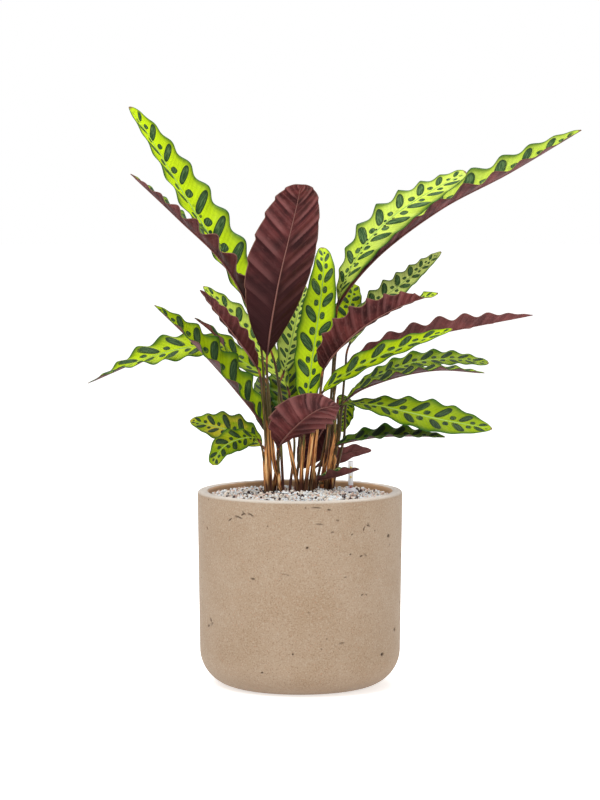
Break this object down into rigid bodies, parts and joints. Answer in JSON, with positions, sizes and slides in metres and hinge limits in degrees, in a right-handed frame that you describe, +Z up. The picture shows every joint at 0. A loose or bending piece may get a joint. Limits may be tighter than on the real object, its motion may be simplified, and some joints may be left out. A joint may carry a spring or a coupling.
{
  "type": "potted calathea",
  "caption": "Prayer plant with long wavy spotted leaves, maroon below, on slim stems in a round-bottomed stone planter of mineral granulate with a float water gauge.",
  "frame": {"origin": "centre of the pot's flat base", "axes": "+Z up, -Y towards the front, +X to the right as seen from the front"},
  "size_m": [0.6109, 0.3214, 0.7067],
  "materials": {
    "stone": "matt cast stone with fine sandy grain and small pits",
    "granulate": "loose mineral grains, white, cream, pinkish and dark brown",
    "clear_plastic": "clear moulded plastic, glossy",
    "float_red": "red-orange moulded plastic, semi-gloss",
    "leaf": "waxy leaf: lime green with dark green ovals above, maroon and velvety below"
  },
  "bodies": {
    "planter": {"pot": "stone", "granulate": "granulate", "gauge_tube": "clear_plastic", "leaf_tall_left": "leaf", "leaf_edge_left": "leaf", "leaf_front_purple": "leaf", "leaf_behind_left": "leaf", "leaf_purple_left": "leaf", "leaf_thin_left": "leaf", "leaf_broad_left": "leaf", "leaf_far_left": "leaf", "leaf_yellow_left": "leaf", "leaf_drooping_left": "leaf", "leaf_centre": "leaf", "leaf_centre_back": "leaf", "leaf_tall_right": "leaf", "leaf_longest_right": "leaf", "leaf_back_striped": "leaf", "leaf_wavy_right_back": "leaf", "leaf_broad_purple_right": "leaf", "leaf_long_purple_right": "leaf", "leaf_front_right": "leaf", "leaf_mid_right_back": "leaf", "leaf_mid_right": "leaf", "leaf_drooping_right": "leaf", "leaf_dark_right": "leaf", "leaf_purple_low_right": "leaf", "leaf_small_low": "leaf", "leaf_front_low": "leaf", "leaf_hanging_back": "leaf", "leaf_back_low": "leaf", "leaf_back_centre": "leaf", "leaf_back_left": "leaf", "leaf_back_right": "leaf"},
    "float": {"gauge_float": "float_red"}
  },
  "joints": [
    {"name": "gauge_float_rise", "type": "slide", "parent": "planter", "child": "float", "axis": [0, 0, 1], "range_m": [0, 0.025]}
  ]
}
